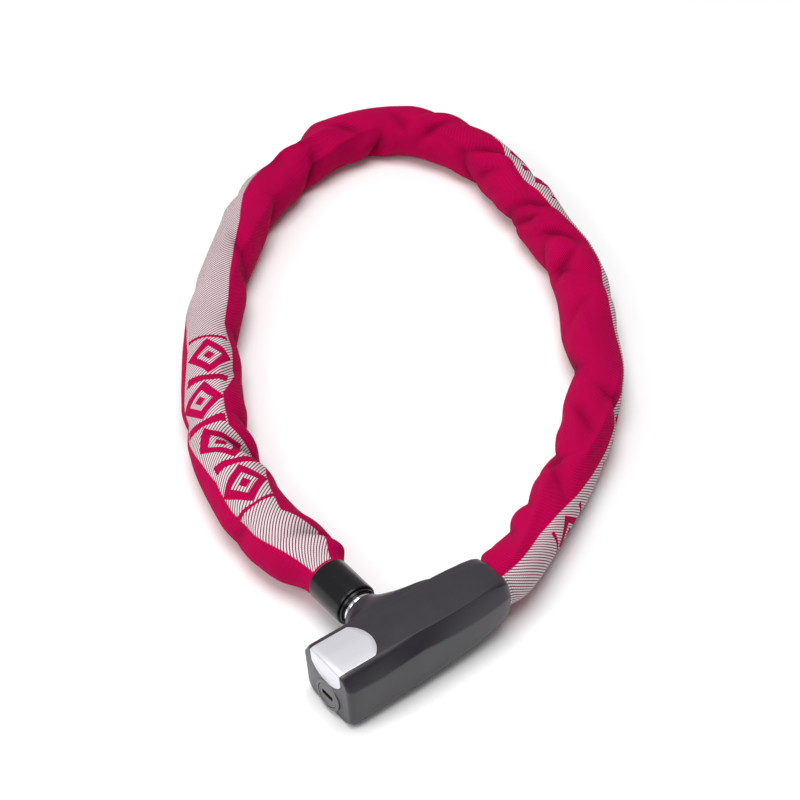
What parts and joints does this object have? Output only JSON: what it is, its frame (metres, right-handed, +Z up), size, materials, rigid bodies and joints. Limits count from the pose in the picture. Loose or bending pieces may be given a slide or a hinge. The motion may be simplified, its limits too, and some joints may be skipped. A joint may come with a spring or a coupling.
{
  "type": "chain lock",
  "caption": "Keyed chain lock: a T-shaped lock body, a bolt on a fabric-sleeved steel chain that plugs into its side, and the chain's other end anchored in its end.",
  "frame": {"origin": "middle of the lock body's flat underside, midway between the key face and the chain mouth", "axes": "+X along the lock body from the key face to the chain mouth, +Y the way the bolt pulls out, +Z up"},
  "size_m": [0.344, 0.3827, 0.036],
  "materials": {
    "body_plastic": "satin black moulded plastic",
    "ferrule_plastic": "smooth black plastic",
    "badge_metal": "satin anodised aluminium",
    "bright_steel": "machined steel, nickel plated",
    "case_zinc": "die-cast zinc, tumbled",
    "brass": "machined brass",
    "ring_metal": "dark satin nickel",
    "seal_rubber": "black nitrile rubber",
    "chain_steel": "hardened zinc-plated steel",
    "collar_chrome": "polished chrome plate",
    "sleeve_fabric": "ribbed crimson webbing with a silver reflective stripe"
  },
  "bodies": {
    "lock_body": {"upper_cover": "body_plastic", "lower_cover": "body_plastic", "silver_badge": "badge_metal", "cover_screws": "bright_steel", "lock_case": "case_zinc", "case_floor_plate": "bright_steel", "cylinder_shell": "brass", "keyhole_ring": "ring_metal", "cylinder_pin": "bright_steel", "port_seal": "seal_rubber", "chain_anchor_pin": "bright_steel", "sleeve_clamp_ring": "bright_steel", "anchored_chain_links": "chain_steel", "chain_sleeve": "sleeve_fabric"},
    "key_barrel": {"barrel": "brass", "detainer_discs": "brass", "disc_spacers": "bright_steel", "sidebar": "bright_steel", "barrel_cap": "ring_metal", "driver_cam": "bright_steel"},
    "latch": {"latch_block": "bright_steel"},
    "bolt_end": {"lock_bolt": "bright_steel", "bolt_collar": "collar_chrome", "bolt_o_ring": "seal_rubber", "ferrule": "ferrule_plastic", "ferrule_screws": "bright_steel", "bolt_link_pin": "bright_steel", "bolt_chain_links": "chain_steel"}
  },
  "joints": [
    {"name": "barrel_turn", "type": "hinge", "parent": "lock_body", "child": "key_barrel", "pos_m": [-0.04, 0, 0.0114], "axis": [-1, 0, 0], "range_deg": [0, 90]},
    {"name": "latch_lift", "type": "slide", "parent": "lock_body", "child": "latch", "axis": [0, 0, 1], "range_m": [0, 0.0032]},
    {"name": "bolt_slide", "type": "slide", "parent": "lock_body", "child": "bolt_end", "axis": [0, 1, 0], "range_m": [0, 0.04], "deforming": ["chain_sleeve", "bolt_chain_links", "anchored_chain_links"]}
  ],
  "couplings": [
    {"joint": "latch_lift", "follows": "barrel_turn", "m_per_rad": 0.0019808}
  ]
}
